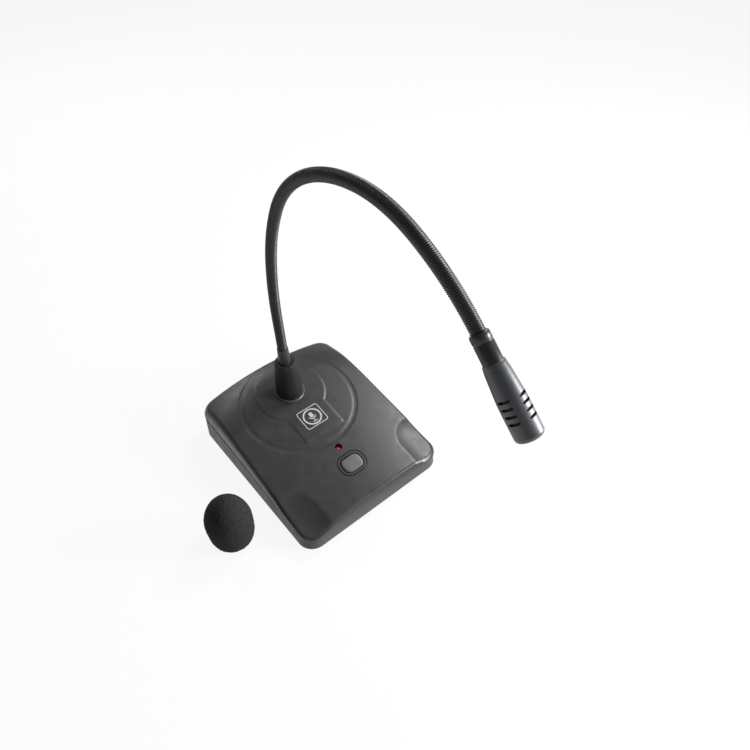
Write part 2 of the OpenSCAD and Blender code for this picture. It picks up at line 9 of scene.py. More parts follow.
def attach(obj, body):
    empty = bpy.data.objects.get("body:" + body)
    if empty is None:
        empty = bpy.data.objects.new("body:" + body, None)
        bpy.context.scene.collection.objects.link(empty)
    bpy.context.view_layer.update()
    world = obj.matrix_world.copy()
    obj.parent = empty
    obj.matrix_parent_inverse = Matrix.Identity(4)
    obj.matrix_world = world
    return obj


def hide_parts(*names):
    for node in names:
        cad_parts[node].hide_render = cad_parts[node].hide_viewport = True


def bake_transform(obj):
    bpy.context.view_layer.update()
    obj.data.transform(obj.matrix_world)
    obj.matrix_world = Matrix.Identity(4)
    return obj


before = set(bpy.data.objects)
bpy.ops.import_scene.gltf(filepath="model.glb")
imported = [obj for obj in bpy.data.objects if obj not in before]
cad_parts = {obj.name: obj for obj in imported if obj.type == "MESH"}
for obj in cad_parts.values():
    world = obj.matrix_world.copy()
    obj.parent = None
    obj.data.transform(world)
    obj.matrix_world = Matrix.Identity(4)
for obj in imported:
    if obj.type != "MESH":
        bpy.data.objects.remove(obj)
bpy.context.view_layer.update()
MM = 0.001
MM_PER_METRE = 1000

# Sizes shared with the solids, in millimetres
BASE_W = 125.0
BASE_D = 150.0
CORNER_R = 12.0
WALL_LEAN = 3.0
LEAN_HEIGHT = 46.0
WALL = 2.5
SEAM_FRONT = 11.0
SEAM_BACK = 22.0
SEAM_ARCH = 3.0
RIDGE_FRONT = 19.0
SLOPE = math.radians(9.6)
CROWN_R = 600.0
DOME_R = 200.0
DOME_Y = 20.0
BACK_EDGE_Z = 36.6
SCOOP_R = 60.0
SCOOP_FLOOR = 13.2
SCOOP_X = 62.0
SCOOP_LEN = 10.0
NECK_Y = 33.0
PAD_R = 27.5
TAB_W = 34.0
TAB_FRONT = 13.0
PAD_RISE = 0.4
GROOVE_R = 44.0
GROOVE_Y = 21.5
GROOVE_W = 3.4
GROOVE_DEPTH = 0.3
BUTTON_W = 16.0
BUTTON_D = 12.0
BUTTON_Y = -45.5
BUTTON_R = 4.5
BUTTON_RISE = 0.6
BUTTON_GAP = 0.8
RING_GAP = 2.4
BUTTON_UNDER = 3.4
LAMP_Y = -29.0
LAMP_R = 2.5
LAMP_SINK = 4.8
LAMP_HOLE_R = 2.9
BOOT_R = 10.4
BOOT_TOP_R = 8.2
BOOT_TOP_Z = 70.0
FERRULE_R = 4.8
FERRULE_LEN = 14.0
FERRULE_LIP = 0.4
STUD_R = 6.0
STUD_LEN = 9.5
BORE_R = 1.3
NECK_R = 3.75
NECK_RISE = 28.0
NECK_LENS = (52.0, 48.0, 46.0, 48.0, 40.0, 50.0)
NECK_BENDS = (12.0, 17.0, 29.0, 27.0, 29.0, 21.0)
HEAD_R = 7.0
HEAD_LEN = 37.0
HEAD_ROOT_R = 5.4
HEAD_FERRULE_LEN = 16.0
SLOT_COUNT = 4
SLOT_PITCH = 3.5
SLOT_W = 6.0
SLOT_H = 1.4
SLOT_END = 10.0
SLOT_TURN = math.radians(-19)
FOAM_R = 16.5
FOAM_H = 44.0
FOAM_DOME = 0.52
FOAM_BORE = 29.0
FOAM_AT = (-94.0, -27.0)
HALF_W = BASE_W / 2
HALF_D = BASE_D / 2
TUB_Z = 1.5
BOSS_SIDE = 15.0
BOSS_FRONT = 30.0
BOSS_BACK = 16.0
SCREW_SINK = 1.0
FOOT_SIDE = 17.0
FOOT_FRONT = 16.0
FOOT_BACK = 30.0
FOOT_SINK = 0.8
SOCKET_Z = 12.0
BOOT_SEAT = 4.0

# Sizes in the scene alone: a bolder line round the button, a sleeve behind the slots, and play in holes
RING_W = 0.8
RING_DEPTH = 1.0
LINER_R = 5.4
LINER_T = 0.4
SCREW_HOLE_R = 3.3
FOOT_HOLE_R = 7.1
SOCKET_HOLE_R = 5.6
SOCKET_HOLE_REACH = 8.0
BOOT_FIT = 0.1
UNDER_TUB = -1.0

# Fineness of the meshes
RING_SIDES = 64
HOLE_SIDES = 48
FINE_SIDES = 96
SHARP_CUT = math.radians(40)
SHARP_LATHE = math.radians(50)
SHARP_CAP = math.radians(60)
TINY = 1e-6


# Meshes
def placed(place, x, y, z):
    """A point given in millimetres, moved to its place."""
    return place @ Vector((x * MM, y * MM, z * MM))


def new_object(name, verts, faces, smooth=True):
    mesh = bpy.data.meshes.new(name)
    mesh.from_pydata([tuple(v) for v in verts], [], faces)
    mesh.validate()
    built = bmesh.new()
    built.from_mesh(mesh)
    bmesh.ops.recalc_face_normals(built, faces=built.faces)
    built.to_mesh(mesh)
    built.free()
    if smooth:
        mesh.shade_smooth()
    made = bpy.data.objects.new(name, mesh)
    bpy.context.scene.collection.objects.link(made)
    return made


def apply_modifiers(piece):
    graph = bpy.context.evaluated_depsgraph_get()
    mesh = bpy.data.meshes.new_from_object(piece.evaluated_get(graph))
    piece.modifiers.clear()
    piece.data = mesh


def cut(piece, cutter):
    """Takes the cutter away from the piece and deletes the cutter."""
    boolean = piece.modifiers.new("cut", "BOOLEAN")
    boolean.operation = "DIFFERENCE"
    boolean.solver = "EXACT"
    boolean.object = cutter
    apply_modifiers(piece)
    bpy.data.objects.remove(cutter)
    piece.data.shade_smooth()
    piece.data.set_sharp_from_angle(angle=SHARP_CUT)


def lathe(name, profile, place, sides=RING_SIDES):
    """A closed profile of [radius, height] points in millimetres, turned about Z and then placed."""
    verts = []
    rings = []
    for radius, height in profile:
        if radius < TINY:
            rings.append([len(verts)] * sides)
            verts.append(placed(place, 0, 0, height))
            continue
        ring = []
        for k in range(sides):
            turn = 2 * math.pi * k / sides
            ring.append(len(verts))
            verts.append(placed(place, radius * math.cos(turn), radius * math.sin(turn), height))
        rings.append(ring)
    faces = []
    for i in range(len(rings)):
        low = rings[i]
        high = rings[(i + 1) % len(rings)]
        for k in range(sides):
            corner = [low[k], low[(k + 1) % sides], high[(k + 1) % sides], high[k]]
            face = list(dict.fromkeys(corner))
            if len(face) > 2:
                faces.append(face)
    made = new_object(name, verts, faces)
    made.data.set_sharp_from_angle(angle=SHARP_LATHE)
    return made


def joined(name, pieces):
    """One mesh of several closed pieces, for cutting."""
    verts = []
    faces = []
    for piece in pieces:
        start = len(verts)
        verts.extend(piece.matrix_world @ v.co for v in piece.data.vertices)
        faces.extend([start + i for i in p.vertices] for p in piece.data.polygons)
        bpy.data.objects.remove(piece)
    return new_object(name, verts, faces, smooth=False)


def arc_points(centre, radius, start, end, count):
    """Points [radius, height] on an arc, angles in degrees."""
    points = []
    for i in range(count):
        turn = math.radians(start + (end - start) * i / (count - 1))
        points.append((centre[0] + radius * math.cos(turn), centre[1] + radius * math.sin(turn)))
    return points


def rounded_outline(width, depth, radius, steps=8):
    """Corner points of a rounded rectangle round the origin, in millimetres."""
    points = []
    for sx, sy, first in ((1, 1, 0), (-1, 1, 90), (-1, -1, 180), (1, -1, 270)):
        centre = (sx * (width / 2 - radius), sy * (depth / 2 - radius))
        points.extend(arc_points(centre, radius, first, first + 90, steps))
    return points


def prism(name, outline, low, high, place):
    count = len(outline)
    verts = [placed(place, x, y, z) for z in (low, high) for x, y in outline]
    faces = [list(range(count)), list(range(count, 2 * count))]
    faces += [[i, (i + 1) % count, count + (i + 1) % count, count + i] for i in range(count)]
    return new_object(name, verts, faces, smooth=False)


def frame_prism(name, outside, inside, low, high, place):
    """A prism between two outlines of the same number of points."""
    count = len(outside)
    verts = [placed(place, x, y, z) for z in (low, high) for x, y in outside + inside]
    faces = []
    for i in range(count):
        n = (i + 1) % count
        out_low, out_next = i, n
        in_low, in_next = count + i, count + n
        lift = 2 * count
        faces.append([out_low, out_next, in_next, in_low])
        faces.append([out_low + lift, in_low + lift, in_next + lift, out_next + lift])
        faces.append([out_low, out_low + lift, out_next + lift, out_next])
        faces.append([in_low, in_next, in_next + lift, in_low + lift])
    return new_object(name, verts, faces, smooth=False)


def cylinder(name, radius, low, high, place):
    turns = [2 * math.pi * k / HOLE_SIDES for k in range(HOLE_SIDES)]
    outline = [(radius * math.cos(turn), radius * math.sin(turn)) for turn in turns]
    return prism(name, outline, low, high, place)


# Places
def ridge_z(y):
    return RIDGE_FRONT + math.tan(SLOPE) * (y + HALF_D)


def on_ridge(y):
    at = Vector((0, y * MM, ridge_z(y) * MM))
    return Matrix.Translation(at) @ Matrix.Rotation(SLOPE, 4, "X")


def at_point(x, y, z):
    return Matrix.Translation(Vector((x * MM, y * MM, z * MM)))


def seam_z(y):
    share = (y + HALF_D) / BASE_D
    return SEAM_FRONT + (SEAM_BACK - SEAM_FRONT) * share + SEAM_ARCH * 4 * share * (1 - share)


def lean_at(z):
    return WALL_LEAN * z / LEAN_HEIGHT


# Shape of the cover
EDGE_R_FRONT = 2.6
EDGE_R_BACK = 5.0
STEP_SOFT = 0.45
SCOOP_SOFT = 0.4
TAB_CORNER_R = 1.0
COVER_COLUMNS = 190
COVER_ROWS = 226
CREASE_SOFT = 4.0
SEAM_LINE = 0.8
SEAM_SINK = 1.0
# Height that the cover's plan is taken at, and the even part of its grid's spacing
PLAN_Z = 30.0
EVEN_SHARE = 0.75
# Clearance of the cover's edge and of its inside over the parting line
SEAM_CLEAR = 0.12
INSIDE_CLEAR = 0.4
# Levels of the cover's outer wall, as shares of its height from the top
WALL_LEVELS = (0.35, 0.7, 1.0)


def soft_step(value, width):
    """0 below zero and 1 above it, over a soft band of the given width."""
    t = np.clip(value / width + 0.5, 0, 1)
    return t * t * (3 - 2 * t)


def soft_min(a, b, k):
    h = np.clip(0.5 + 0.5 * (b - a) / k, 0, 1)
    return b * (1 - h) + a * h - k * h * (1 - h)


def rect_distance(x, y, half_x, half_y, radius):
    """Signed distance to a rounded rectangle, negative inside."""
    qx = np.abs(x) - (half_x - radius)
    qy = np.abs(y) - (half_y - radius)
    outside = np.hypot(np.maximum(qx, 0), np.maximum(qy, 0))
    return outside + np.minimum(np.maximum(qx, qy), 0) - radius


def scoop_height(x, y):
    """Height of the corner scoops: a ball's end, then a trough that runs down the slope to the front."""
    along = y + HALF_D - SCOOP_LEN
    centre_z = SCOOP_FLOOR + math.tan(SLOPE) * SCOOP_LEN + SCOOP_R / math.cos(SLOPE)
    deep = np.sqrt(np.maximum(SCOOP_R**2 - (np.abs(x) - SCOOP_X) ** 2, 0))
    trough = centre_z + math.tan(SLOPE) * along - deep / math.cos(SLOPE)
    ball = centre_z - np.sqrt(np.maximum(deep**2 - along**2, 0))
    return np.where(along <= deep * math.sin(SLOPE), trough, ball)


def cover_height(x, y):
    """Height of the cover's outside, in millimetres, for arrays of places."""
    ridge = RIDGE_FRONT + math.tan(SLOPE) * (y + HALF_D)
    top = ridge - (CROWN_R - np.sqrt(CROWN_R**2 - x**2))
    dome_z = BACK_EDGE_Z - math.sqrt(DOME_R**2 - (HALF_D - DOME_Y) ** 2)
    dome = dome_z + np.sqrt(DOME_R**2 - np.maximum(y - DOME_Y, 0) ** 2 - x**2)
    top = soft_min(top, dome, CREASE_SOFT)
    groove = np.abs(np.hypot(x, y - GROOVE_Y) - GROOVE_R) - GROOVE_W / 2
    top = top - GROOVE_DEPTH * (1 - soft_step(groove, STEP_SOFT * 2))
    circle = np.hypot(x, y - NECK_Y) - PAD_R
    tab = rect_distance(x, y - (NECK_Y - TAB_FRONT) / 2, TAB_W / 2, (NECK_Y + TAB_FRONT) / 2, TAB_CORNER_R)
    top = top + PAD_RISE * (1 - soft_step(np.minimum(circle, tab), STEP_SOFT))
    top = soft_min(top, scoop_height(x, y), SCOOP_SOFT)
    inset = WALL_LEAN * top / LEAN_HEIGHT
    edge = -rect_distance(x, y, HALF_W - inset, HALF_D - inset, CORNER_R - inset)
    share = np.clip((y + HALF_D) / BASE_D, 0, 1)
    radius = EDGE_R_FRONT + (EDGE_R_BACK - EDGE_R_FRONT) * share**2
    short = np.clip(radius - np.maximum(edge, 0), 0, None)
    return top - (radius - np.sqrt(np.maximum(radius**2 - short**2, 0)))


def row_half_width(y, inset):
    over = max(0.0, abs(y) - (HALF_D - CORNER_R))
    radius = CORNER_R - inset
    return HALF_W - CORNER_R + math.sqrt(max(radius**2 - over**2, 0.0))


def close_at_ends(count):
    """Shares from -1 to 1 that lie closer together near both ends."""
    shares = np.linspace(-1, 1, count)
    return EVEN_SHARE * shares + (1 - EVEN_SHARE) * np.sin(shares * math.pi / 2)


def cover_shell():
    """The cover as a closed shell: fine outside, walls down to the parting line, and an inside."""
    inset = lean_at(PLAN_Z)
    rows = (HALF_D - inset) * close_at_ends(COVER_ROWS)
    columns = close_at_ends(COVER_COLUMNS)
    half = np.array([row_half_width(y, inset) for y in rows])
    x = half[:, None] * columns[None, :]
    y = np.repeat(rows[:, None], COVER_COLUMNS, axis=1)
    outer = np.stack([x, y, cover_height(x, y)], axis=-1).reshape(-1, 3)
    grid = np.arange(COVER_ROWS * COVER_COLUMNS).reshape(COVER_ROWS, COVER_COLUMNS)
    rim = list(grid[0, :]) + list(grid[1:, -1]) + list(grid[-1, -2::-1]) + list(grid[-2:0:-1, 0])
    shrink = 1 - WALL / HALF_W
    inner = outer * np.array([shrink, shrink, 1.0]) - np.array([0, 0, WALL])
    inner[:, 2] = np.maximum(inner[:, 2], [seam_z(v) + INSIDE_CLEAR for v in inner[:, 1]])
    count = len(outer)
    wall = []
    for height_share in WALL_LEVELS:
        for i in rim:
            px, py, pz = outer[i]
            bottom = seam_z(py) + SEAM_CLEAR
            z = pz + (bottom - pz) * height_share
            grow = 1 + (inset - lean_at(z)) / HALF_W
            wall.append((px * grow, py * grow, z))
    lip = []
    for i in rim:
        px, py, pz = outer[i]
        lip.append((px * shrink, py * shrink, seam_z(py) + SEAM_CLEAR))
    verts = np.concatenate([outer, inner, np.array(wall), np.array(lip)]) * MM
    quads = []
    for r in range(COVER_ROWS - 1):
        for c in range(COVER_COLUMNS - 1):
            a, b, d, e = grid[r, c], grid[r, c + 1], grid[r + 1, c + 1], grid[r + 1, c]
            quads.append((a, b, d, e))
            quads.append((a + count, e + count, d + count, b + count))
    loops = [rim]
    start = 2 * count
    for _ in range(len(WALL_LEVELS) + 1):
        loops.append(list(range(start, start + len(rim))))
        start += len(rim)
    loops.append([i + count for i in rim])
    for low, high in zip(loops, loops[1:]):
        for k in range(len(rim)):
            n = (k + 1) % len(rim)
            quads.append((low[k], low[n], high[n], high[k]))
    return new_object("cover_shell", verts, [tuple(int(i) for i in q) for q in quads])


# Rounded foot edge of the tub, as (inset, height over its underside)
TUB_EDGE = ((1.2, 0.0), (0.5, 0.2), (0.15, 0.7))
TUB_CORNER_STEPS = 24
TUB_STEP = 4.0
# Heights that the tub wall's leans are taken at
LOW_Z = 3.5
MIDDLE_Z = 10.0
SEAM_MEAN_Z = 17.0
SEAM_BEVEL = 0.2
SEAM_GAP = 0.05
LIP_INSET = WALL + 0.8
FLOOR_INSET = WALL + 0.3


def tub_shell():
    """The lower half of the base: a rounded foot edge, leaning walls and a lip at the parting line."""
    outline = np.array(rounded_outline(BASE_W, BASE_D, CORNER_R, TUB_CORNER_STEPS))
    sides = []
    for a, b in zip(outline, np.roll(outline, -1, axis=0)):
        steps = max(1, int(np.linalg.norm(b - a) / TUB_STEP))
        sides.extend(a + (b - a) * i / steps for i in range(steps))
    sides = np.array(sides)
    count = len(sides)

    def ring(inset, z):
        scale = np.array([1 - inset / HALF_W, 1 - inset / HALF_D])
        flat = sides * scale
        level = z if callable(z) else (lambda y: z)
        return [(px, py, level(py)) for px, py in flat]

    seam_inset = lean_at(SEAM_MEAN_Z)
    rings = [ring(inset, TUB_Z + rise) for inset, rise in TUB_EDGE]
    rings.append(ring(lean_at(LOW_Z), LOW_Z))
    rings.append(ring(lean_at(MIDDLE_Z), lambda y: TUB_Z + (seam_z(y) - TUB_Z) * 0.5))
    rings.append(ring(seam_inset, lambda y: seam_z(y) - SEAM_LINE - SEAM_BEVEL))
    rings.append(ring(seam_inset + SEAM_BEVEL, lambda y: seam_z(y) - SEAM_LINE))
    rings.append(ring(seam_inset + SEAM_SINK, lambda y: seam_z(y) - SEAM_LINE))
    rings.append(ring(seam_inset + SEAM_SINK, lambda y: seam_z(y) - SEAM_GAP))
    rings.append(ring(LIP_INSET, lambda y: seam_z(y) - SEAM_GAP))
    rings.append(ring(FLOOR_INSET, TUB_Z + WALL))
    verts = np.concatenate([np.array(r) for r in rings]) * MM
    faces = [list(range(count)), list(range(count * (len(rings) - 1), count * len(rings)))]
    for r in range(len(rings) - 1):
        for k in range(count):
            n = (k + 1) % count
            faces.append([r * count + k, r * count + n, (r + 1) * count + n, (r + 1) * count + k])
    made = new_object("tub_shell", verts, faces)
    cutters = []
    for side in (-1, 1):
        for y in (-HALF_D + BOSS_FRONT, HALF_D - BOSS_BACK):
            under = at_point(side * (HALF_W - BOSS_SIDE), y, 0)
            cutters.append(cylinder("hole", SCREW_HOLE_R, UNDER_TUB, TUB_Z + SCREW_SINK, under))
        for y in (-HALF_D + FOOT_FRONT, HALF_D - FOOT_BACK):
            under = at_point(side * (HALF_W - FOOT_SIDE), y, 0)
            cutters.append(cylinder("hole", FOOT_HOLE_R, UNDER_TUB, TUB_Z + FOOT_SINK, under))
    facing_back = at_point(0, HALF_D, SOCKET_Z) @ Matrix.Rotation(math.pi / 2, 4, "X")
    cutters.append(cylinder("hole", SOCKET_HOLE_R, -SOCKET_HOLE_REACH, SOCKET_HOLE_REACH, facing_back))
    cut(made, joined("tub_cutter", cutters))
    return made


# Neck path: the same stretches as the solids
def neck_path():
    """Start places of the stretches as (y, z, lean), with the lean in radians, and the end of the last."""
    y, z, lean = NECK_Y, BOOT_TOP_Z + FERRULE_LEN + NECK_RISE, 0.0
    starts = [(y, z, lean)]
    for length, bend in zip(NECK_LENS, NECK_BENDS):
        y, z, lean = point_on(y, z, lean, length, math.radians(bend) / length)
        starts.append((y, z, lean))
    return starts


def point_on(y, z, lean, s, rate):
    if abs(rate) < TINY:
        return y - s * math.sin(lean), z + s * math.cos(lean), lean
    end = lean + rate * s
    aside = (math.cos(lean) - math.cos(end)) / rate
    rise = (math.sin(end) - math.sin(lean)) / rate
    return y - aside, z + rise, end


STARTS = neck_path()


def on_neck(s):
    """Place (y, z, lean) at a distance along the neck from the first bend, in millimetres."""
    if s <= 0:
        return NECK_Y, STARTS[0][1] + s, 0.0
    for i, length in enumerate(NECK_LENS):
        if s <= length or i == len(NECK_LENS) - 1:
            inside = min(s, length)
            y, z, lean = point_on(*STARTS[i], inside, math.radians(NECK_BENDS[i]) / length)
            return point_on(y, z, lean, s - inside, 0.0)
        s -= length


RIB_PITCH = 1.05
RIB_DEPTH = 0.42
RIB_SAMPLES = 5
RIB_FULLNESS = 0.6
NECK_SIDES = 22


def neck_tube(name, start, end):
    """A closed, finely ribbed tube from start to end along the neck."""
    ribs = max(1, round((end - start) / RIB_PITCH))
    rings = ribs * RIB_SAMPLES + 1
    verts = []
    for i in range(rings):
        s = start + (end - start) * i / (rings - 1)
        y, z, lean = on_neck(s)
        wave = 0.5 - 0.5 * math.cos(2 * math.pi * i / RIB_SAMPLES)
        radius = NECK_R - RIB_DEPTH * (1 - wave**RIB_FULLNESS)
        for k in range(NECK_SIDES):
            turn = 2 * math.pi * k / NECK_SIDES
            u = radius * math.sin(turn)
            spot = (radius * math.cos(turn), y + u * math.cos(lean), z + u * math.sin(lean))
            verts.append([v * MM for v in spot])
    faces = [list(range(NECK_SIDES)), list(range(len(verts) - NECK_SIDES, len(verts)))]
    for i in range(rings - 1):
        for k in range(NECK_SIDES):
            n = (k + 1) % NECK_SIDES
            row = i * NECK_SIDES
            faces.append([row + k, row + n, row + NECK_SIDES + n, row + NECK_SIDES + k])
    return new_object(name, verts, faces)


def head_place():
    y, z, lean = STARTS[-1]
    return at_point(0, y, z) @ Matrix.Rotation(lean, 4, "X")


# Materials
NOISE_LOW = 0.3
NOISE_HIGH = 0.7
COLOR_DETAIL = 3.0
ROUGH_DETAIL = 5.0
BUMP_DETAIL = 2.0
BUMP_HEIGHT = 0.0001
LAMP_CLEAR = 0.35
LAMP_COAT = 0.4
LAMP_GLOW_COLOR = (0.6, 0.03, 0.05, 1)
LAMP_GLOW = 0.25


def material(name, color, roughness, metallic=0.0):
    made = bpy.data.materials.new(name)
    made.use_nodes = True
    shader = made.node_tree.nodes["Principled BSDF"]
    shader.inputs["Base Color"].default_value = (*color, 1)
    shader.inputs["Roughness"].default_value = roughness
    shader.inputs["Metallic"].default_value = metallic
    return made


def add_noise(made, scale, detail):
    tree = made.node_tree
    place = tree.nodes.new("ShaderNodeTexCoord")
    grain = tree.nodes.new("ShaderNodeTexNoise")
    grain.inputs["Scale"].default_value = scale
    grain.inputs["Detail"].default_value = detail
    tree.links.new(place.outputs["Object"], grain.inputs["Vector"])
    return grain


def vary_color(made, color, spread, scale):
    """Base colour that wanders a little around the given one."""
    tree = made.node_tree
    ramp = tree.nodes.new("ShaderNodeValToRGB")
    ramp.color_ramp.elements[0].position = NOISE_LOW
    ramp.color_ramp.elements[1].position = NOISE_HIGH
    ramp.color_ramp.elements[0].color = (*[c * (1 - spread) for c in color], 1)
    ramp.color_ramp.elements[1].color = (*[c * (1 + spread) for c in color], 1)
    tree.links.new(add_noise(made, scale, COLOR_DETAIL).outputs["Fac"], ramp.inputs["Fac"])
    tree.links.new(ramp.outputs["Color"], tree.nodes["Principled BSDF"].inputs["Base Color"])


def vary_roughness(made, low, high, scale):
    tree = made.node_tree
    span = tree.nodes.new("ShaderNodeMapRange")
    span.inputs["From Min"].default_value = NOISE_LOW
    span.inputs["From Max"].default_value = NOISE_HIGH
    span.inputs["To Min"].default_value = low
    span.inputs["To Max"].default_value = high
    tree.links.new(add_noise(made, scale, ROUGH_DETAIL).outputs["Fac"], span.inputs["Value"])
    tree.links.new(span.outputs["Result"], tree.nodes["Principled BSDF"].inputs["Roughness"])


def add_bump(made, scale, strength):
    tree = made.node_tree
    bump = tree.nodes.new("ShaderNodeBump")
    bump.inputs["Strength"].default_value = strength
    bump.inputs["Distance"].default_value = BUMP_HEIGHT
    tree.links.new(add_noise(made, scale, BUMP_DETAIL).outputs["Fac"], bump.inputs["Height"])
    tree.links.new(bump.outputs["Normal"], tree.nodes["Principled BSDF"].inputs["Normal"])


def finish(name, color, rough, metallic=0.0, spread=0.12, patch=60.0, grain=2000, bump=0.15, specular=0.5):
    """A material whose colour, roughness and grain all vary a little."""
    made = material(name, color, sum(rough) / 2, metallic)
    made.node_tree.nodes["Principled BSDF"].inputs["Specular IOR Level"].default_value = specular
    vary_color(made, color, spread, patch)
    vary_roughness(made, rough[0], rough[1], patch * 2)
    add_bump(made, grain, bump)
    return made


charcoal = finish("charcoal_plastic", (0.032, 0.0316, 0.032), (0.33, 0.43),
                  spread=0.08, grain=2600, bump=0.25)
tub_grey = finish("tub_plastic", (0.06, 0.06, 0.063), (0.45, 0.57), spread=0.08, grain=2600, bump=0.25)
button_grey = finish("button_plastic", (0.107, 0.11, 0.11), (0.4, 0.5), spread=0.06, grain=3000, bump=0.12)
boot_black = finish("boot_plastic", (0.014, 0.014, 0.015), (0.46, 0.6),
                    spread=0.15, grain=1800, bump=0.2, specular=0.25)
collar_grey = finish("collar_plastic", (0.075, 0.075, 0.076), (0.32, 0.44),
                     spread=0.1, grain=2600, bump=0.12)
neck_black = finish("neck_coat", (0.024, 0.024, 0.026), (0.28, 0.42),
                    metallic=0.35, spread=0.15, grain=1500, bump=0.1)
ferrule_black = finish("ferrule_coat", (0.03, 0.03, 0.032), (0.3, 0.42), metallic=0.35, grain=1800, bump=0.08)
head_coat = finish("head_coat", (0.1, 0.104, 0.112), (0.34, 0.46), metallic=0.3, grain=2400, bump=0.12)
black_plastic = finish("black_plastic", (0.022, 0.022, 0.024), (0.42, 0.55))
rubber_black = finish("rubber", (0.021, 0.021, 0.021), (0.7, 0.85), grain=1400, bump=0.3)
steel = finish("plated_steel", (0.56, 0.56, 0.57), (0.22, 0.36),
               metallic=1.0, spread=0.05, grain=900, bump=0.05)
board_green = finish("board_mask", (0.03, 0.16, 0.07), (0.3, 0.45), grain=700, bump=0.1)
capsule_metal = finish("capsule_metal", (0.6, 0.6, 0.62), (0.3, 0.4), metallic=1.0, grain=1200, bump=0.05)
print_white = finish("mark_print", (0.5, 0.53, 0.51), (0.5, 0.6), spread=0.05, grain=3000, bump=0.05)
foam_black = finish("foam", (0.024, 0.024, 0.025), (0.9, 1.0),
                    spread=0.35, patch=900.0, grain=900, bump=0.9, specular=0.15)
lamp_red = finish("lamp_lens", (0.33, 0.034, 0.045), (0.08, 0.16),
                  spread=0.1, patch=300.0, grain=600, bump=0.02)
lamp_shader = lamp_red.node_tree.nodes["Principled BSDF"]
lamp_shader.inputs["Transmission Weight"].default_value = LAMP_CLEAR
lamp_shader.inputs["Coat Weight"].default_value = LAMP_COAT
lamp_shader.inputs["Emission Color"].default_value = LAMP_GLOW_COLOR
lamp_shader.inputs["Emission Strength"].default_value = LAMP_GLOW


def dress(piece, made):
    piece.data.materials.clear()
    piece.data.materials.append(made)


def add_piece(piece, made, body, slot, *nodes):
    dress(piece, made)
    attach(piece, body)
    if nodes:
        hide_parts(*nodes)


# Base
THROUGH = 3 * WALL
BOOT_HOLE = (20.0, 60.0)


def around_button(gap):
    return rounded_outline(BUTTON_W + 2 * gap, BUTTON_D + 2 * gap, BUTTON_R + gap)


cover = cover_shell()
ring_out = around_button(RING_GAP + RING_W)
ring_in = around_button(RING_GAP)
cut(cover, joined("cover_cutter", [
    prism("hole", around_button(BUTTON_GAP), -THROUGH, THROUGH, on_ridge(BUTTON_Y)),
    frame_prism("ring", ring_out, ring_in, -RING_DEPTH, WALL, on_ridge(BUTTON_Y)),
    cylinder("hole", LAMP_HOLE_R, -THROUGH, THROUGH, on_ridge(LAMP_Y)),
    cylinder("hole", BOOT_R + BOOT_FIT, *BOOT_HOLE, at_point(0, NECK_Y, 0)),
]))
add_piece(cover, charcoal, "base", "cover", "top_cover")
add_piece(tub_shell(), tub_grey, "base", "tub", "bottom_tub")


# Talk button: a softly domed cap with rounded edges, given as (depth under its top, inset)
CAP_EDGE = ((1.1, 0.0), (0.7, 0.1), (0.4, 0.35), (0.2, 0.8), (0.12, 1.6), (0.048, 3.0), (0.0, 5.0))
CAP_STEPS = 10
CAP_LEAST_R = 0.4


def button_cap():
    levels = [(-BUTTON_UNDER, 0.0)]
    levels += [(BUTTON_RISE - depth, inset) for depth, inset in CAP_EDGE]
    place = on_ridge(BUTTON_Y)
    rings = []
    verts = []
    for z, inset in levels:
        radius = max(CAP_LEAST_R, BUTTON_R - inset)
        outline = rounded_outline(BUTTON_W - 2 * inset, BUTTON_D - 2 * inset, radius, CAP_STEPS)
        rings.append(range(len(verts), len(verts) + len(outline)))
        verts.extend(placed(place, x, y, z) for x, y in outline)
    faces = [list(rings[0]), list(rings[-1])]
    for low, high in zip(rings, rings[1:]):
        for k in range(len(low)):
            n = (k + 1) % len(low)
            faces.append([low[k], low[n], high[n], high[k]])
    made = new_object("button_cap", verts, faces)
    made.data.set_sharp_from_angle(angle=SHARP_CAP)
    return made


add_piece(button_cap(), button_grey, "button", "button", "talk_button")
LAMP_FOOT = -9.0
LAMP_STEPS = 12
lens_side = [(0, LAMP_FOOT), (LAMP_R, LAMP_FOOT), (LAMP_R, -LAMP_SINK)]
lens_dome = arc_points((0, -LAMP_SINK), LAMP_R, 0, 90, LAMP_STEPS)[1:-1]
lens_top = [(0, LAMP_R - LAMP_SINK)]
lens = lathe("lamp_lens", lens_side + lens_dome + lens_top, on_ridge(LAMP_Y))
add_piece(lens, lamp_red, "base", "lamp", "status_lamp")

# Boot and lower ferrule. The boot's side is given as (inset, share of its height)
BOOT_FOOT = ridge_z(NECK_Y) - BOOT_SEAT
BOOT_H = BOOT_TOP_Z - BOOT_FOOT
BOOT_SIDE = ((0.0, 0.0), (0.0, 0.22), (0.12, 0.3), (0.6, 0.5), (1.15, 0.68))
BOOT_SHOULDER = 0.45
BOOT_SHOULDER_SHARE = 0.82
BOOT_ROUND = 1.0
BOOT_STEPS = 6
TOUCH = 0.05
FERRULE_TOP = BOOT_TOP_Z + FERRULE_LEN
FERRULE_TIP_R = NECK_R + FERRULE_LIP
FERRULE_SHOULDER = 0.6
TIP_BEVEL = 0.2
TIP_BEVEL_H = 0.5
boot_side = [(BOOT_R - inset, BOOT_FOOT + BOOT_H * share) for inset, share in BOOT_SIDE]
boot_side.append((BOOT_TOP_R + BOOT_SHOULDER, BOOT_FOOT + BOOT_H * BOOT_SHOULDER_SHARE))
boot_top = arc_points((BOOT_TOP_R - BOOT_ROUND, BOOT_TOP_Z - BOOT_ROUND), BOOT_ROUND, 0, 90, BOOT_STEPS)
boot_inside = [(FERRULE_R + BOOT_FIT, BOOT_TOP_Z), (FERRULE_R + BOOT_FIT, BOOT_FOOT)]
boot = lathe("boot_sleeve", boot_side + boot_top + boot_inside, at_point(0, NECK_Y, 0))
